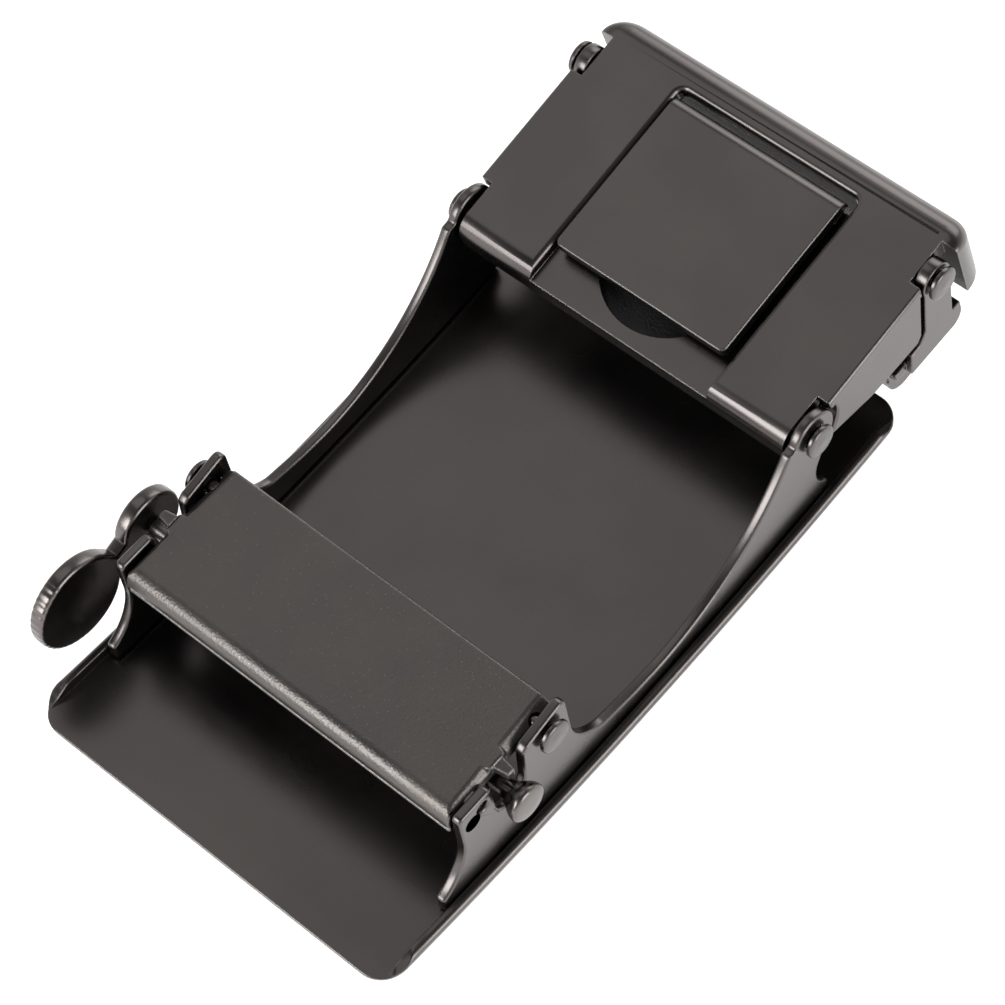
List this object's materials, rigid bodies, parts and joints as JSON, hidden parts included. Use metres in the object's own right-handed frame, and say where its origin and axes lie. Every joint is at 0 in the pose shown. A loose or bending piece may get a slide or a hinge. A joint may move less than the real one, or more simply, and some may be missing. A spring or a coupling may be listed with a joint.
{
  "type": "automatic belt buckle",
  "caption": "Automatic ratchet buckle for a flat strap: arched face plate, sprung pawl with a side release lever, and a swinging clip whose lid locks the strap end.",
  "frame": {"origin": "the middle of the face plate's front face, which lies downwards", "axes": "+X across the strap, away from the release lever; +Y along the strap, towards the clip; +Z from the front face to the back"},
  "size_m": [0.0431, 0.078, 0.0177],
  "materials": {
    "satin_plating": "satin black-nickel plating on a zinc casting",
    "polished_plating": "brighter black-nickel plating on steel",
    "pebbled_coating": "fine pebbled dark grey coating on steel",
    "tooth_steel": "hardened steel, dark oil finish",
    "spring_steel": "drawn spring steel wire",
    "black_grain": "coarse-grained black pad"
  },
  "bodies": {
    "frame": {"face_plate": "satin_plating", "cheek_left": "satin_plating", "cheek_right": "satin_plating", "pawl_pin": "satin_plating", "pivot_rivet_left": "satin_plating", "pivot_rivet_right": "satin_plating", "pawl_spring_left": "spring_steel", "pawl_spring_right": "spring_steel"},
    "pawl": {"pawl_plate": "pebbled_coating", "pawl_blade": "tooth_steel"},
    "release": {"release_shaft": "polished_plating", "release_lever": "polished_plating"},
    "clip": {"clip_cover": "satin_plating", "grip_pad": "black_grain", "jaw_pin_left": "satin_plating", "jaw_pin_right": "satin_plating", "lid_pin": "spring_steel"},
    "jaw": {"clip_jaw": "satin_plating", "tooth_bar": "tooth_steel"},
    "lid": {"lock_lid": "satin_plating"}
  },
  "joints": [
    {"name": "pawl_lift", "type": "hinge", "parent": "frame", "child": "pawl", "pos_m": [0, -0.0109, 0.01215], "axis": [-1, 0, 0], "range_deg": [0, 8], "stiffness_Nm_per_rad": 0.02, "springref_deg": -17.19},
    {"name": "release_turn", "type": "hinge", "parent": "frame", "child": "release", "pos_m": [0, -0.01595, 0.01], "axis": [1, 0, 0], "range_deg": [0, 40]},
    {"name": "clip_swing", "type": "hinge", "parent": "frame", "child": "clip", "pos_m": [0, 0.02215, 0.0125], "axis": [1, 0, 0], "range_deg": [0, 100]},
    {"name": "jaw_open", "type": "hinge", "parent": "clip", "child": "jaw", "pos_m": [0, 0.03836, 0.0156], "axis": [1, 0, 0], "range_deg": [0, 12]},
    {"name": "lid_flip", "type": "hinge", "parent": "clip", "child": "lid", "pos_m": [0, 0.03817, 0.01557], "axis": [-1, 0, 0], "range_deg": [0, 90]}
  ],
  "couplings": [
    {"joint": "release_turn", "follows": "pawl_lift", "ratio": 5}
  ]
}
